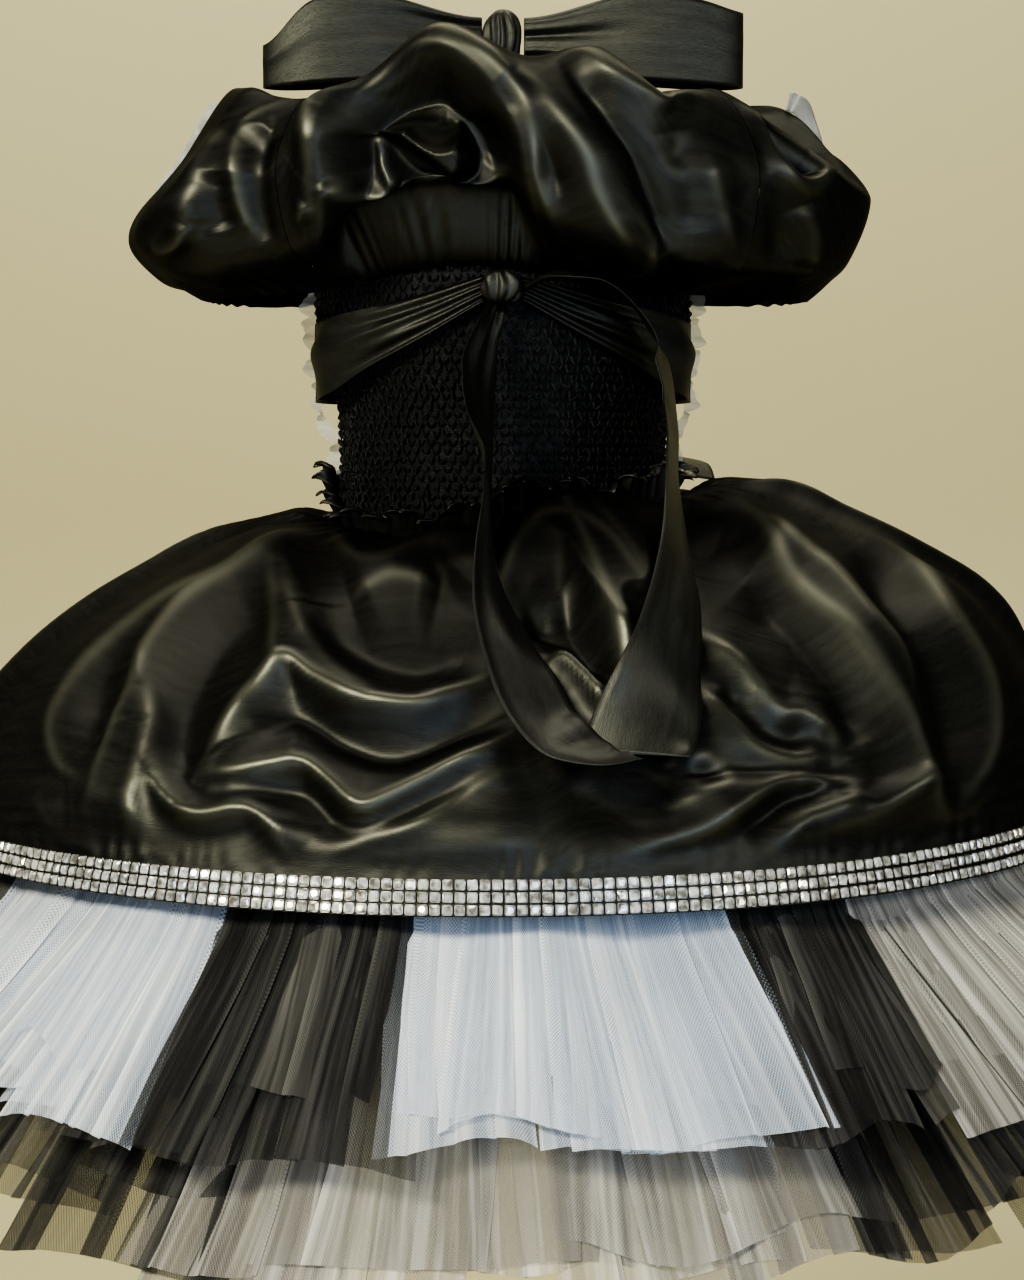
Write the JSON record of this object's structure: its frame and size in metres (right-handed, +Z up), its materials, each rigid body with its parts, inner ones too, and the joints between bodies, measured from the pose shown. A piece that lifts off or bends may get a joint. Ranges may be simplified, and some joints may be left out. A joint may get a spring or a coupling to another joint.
{
  "type": "tutu dress",
  "caption": "Child's off-shoulder dress: black crochet bodice, black satin flounce and gathered overskirt with a stone-trimmed hem, over a pleated white and black tulle tutu.",
  "frame": {"origin": "on the body's axis at the waist, where the wearer holds the dress up", "axes": "+Z up, -Y out of the back of the dress with the ribbon tie, +X to the right as the back is seen"},
  "size_m": [0.8628, 0.8675, 0.64],
  "materials": {
    "black_satin": "glossy black satin with a warm olive sheen",
    "black_ribbon": "black satin ribbon with fine cross ribs",
    "black_crochet": "matte black stretch crochet",
    "white_tulle": "white net, slightly blue",
    "black_tulle": "black net",
    "grey_tulle": "beige-grey net",
    "white_organza": "sheer white organza",
    "white_ribbon": "white satin ribbon",
    "clear_stones": "faceted clear stones in silver settings"
  },
  "bodies": {
    "root": {"bodice": "black_crochet", "bow_knot": "black_ribbon", "bow_loop_left": "black_ribbon", "bow_loop_right": "black_ribbon", "flounce_back": "black_satin", "flounce_front": "black_satin", "header_frill": "black_satin", "overskirt": "black_satin", "puff_left": "black_satin", "puff_right": "black_satin", "ruffle_left": "white_organza", "ruffle_right": "white_organza", "sash_front": "black_ribbon", "sash_knot": "black_ribbon", "sash_left": "black_ribbon", "sash_right": "black_ribbon", "shoulder_trim_left": "white_ribbon", "shoulder_trim_right": "white_ribbon", "stone_trim": "clear_stones", "tail_left": "black_ribbon", "tail_right": "black_ribbon", "tulle_lower_01_grey": "grey_tulle", "tulle_lower_02_black": "black_tulle", "tulle_lower_03_white": "white_tulle", "tulle_lower_04_black": "black_tulle", "tulle_lower_05_grey": "grey_tulle", "tulle_lower_06_black": "black_tulle", "tulle_lower_07_white": "white_tulle", "tulle_lower_08_black": "black_tulle", "tulle_lower_09_grey": "grey_tulle", "tulle_lower_10_black": "black_tulle", "tulle_upper_01_white": "white_tulle", "tulle_upper_02_black": "black_tulle", "tulle_upper_03_grey": "grey_tulle", "tulle_upper_04_white": "white_tulle", "tulle_upper_05_black": "black_tulle", "tulle_upper_06_white": "white_tulle", "tulle_upper_07_black": "black_tulle", "tulle_upper_08_white": "white_tulle", "tulle_upper_09_black": "black_tulle", "tulle_upper_10_white": "white_tulle", "tulle_upper_11_black": "black_tulle", "tulle_upper_12_white": "white_tulle", "tulle_upper_13_black": "black_tulle", "tulle_upper_14_white": "white_tulle", "tulle_upper_15_black": "black_tulle", "waist_ribbon_end": "black_ribbon"}
  },
  "joints": []
}
